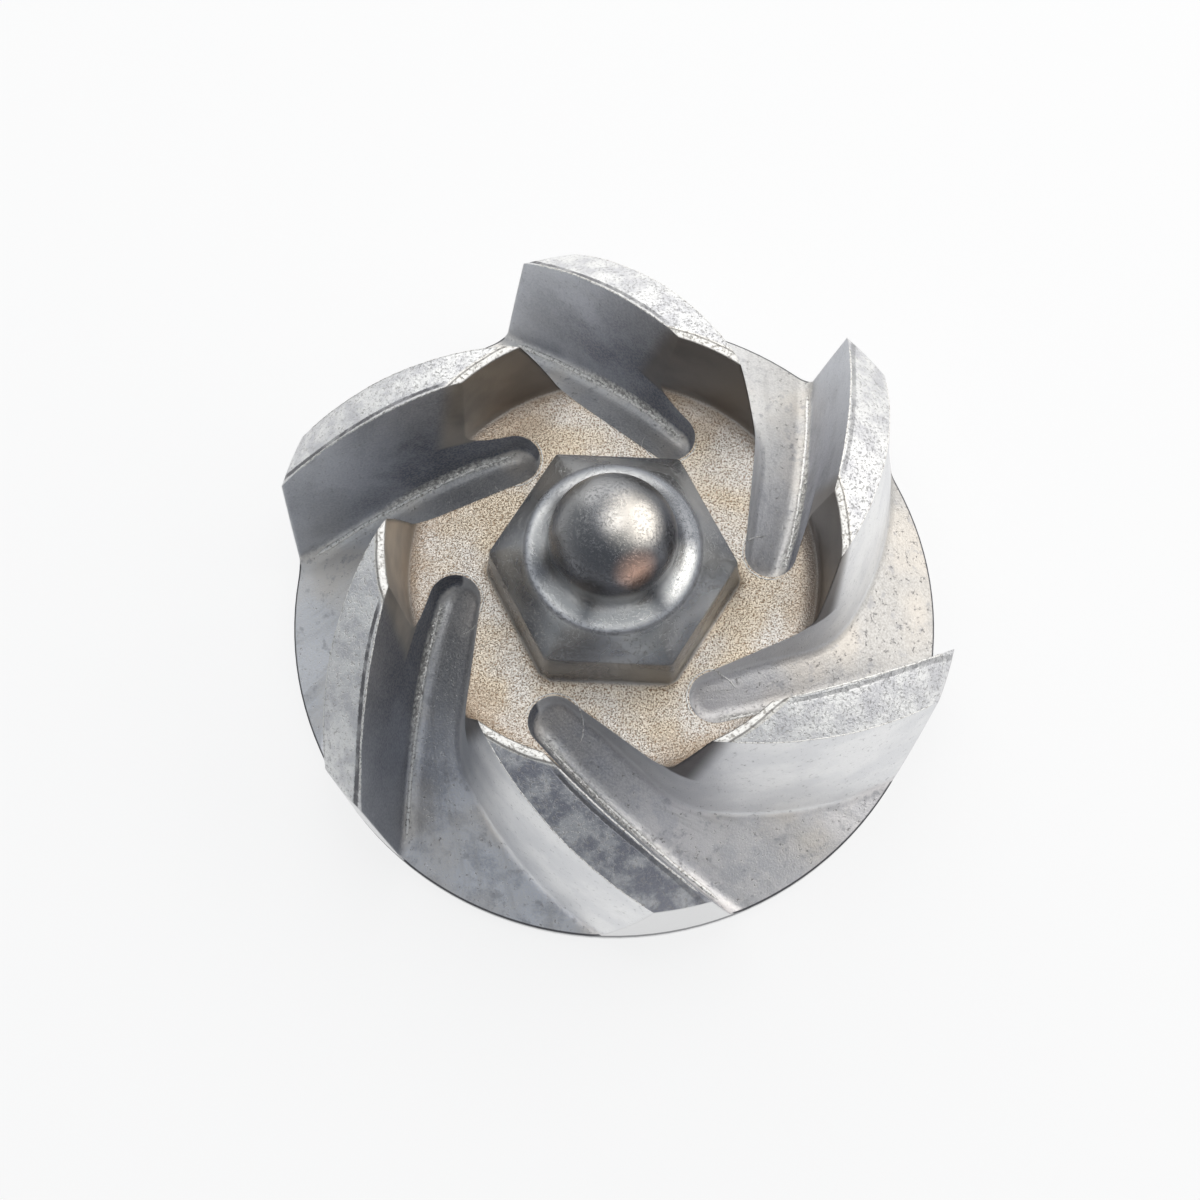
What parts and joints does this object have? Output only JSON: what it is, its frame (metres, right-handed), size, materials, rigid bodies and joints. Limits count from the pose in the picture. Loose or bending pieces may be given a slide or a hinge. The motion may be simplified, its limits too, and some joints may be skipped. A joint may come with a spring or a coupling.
{
  "type": "pump impeller",
  "caption": "Open centrifugal pump impeller in cast aluminium with curved vanes, a hexagonal hub under a dome, and a blind threaded bore at the back.",
  "frame": {"origin": "on the axis, in the plane of the back face that the part stands on", "axes": "+Z along the axis, from the back towards the dome and the water inlet"},
  "size_m": [0.078, 0.078, 0.0382],
  "materials": {
    "cast_aluminium": "as-cast aluminium, fine grain, worn edges"
  },
  "bodies": {
    "root": {"impeller": "cast_aluminium"}
  },
  "joints": []
}
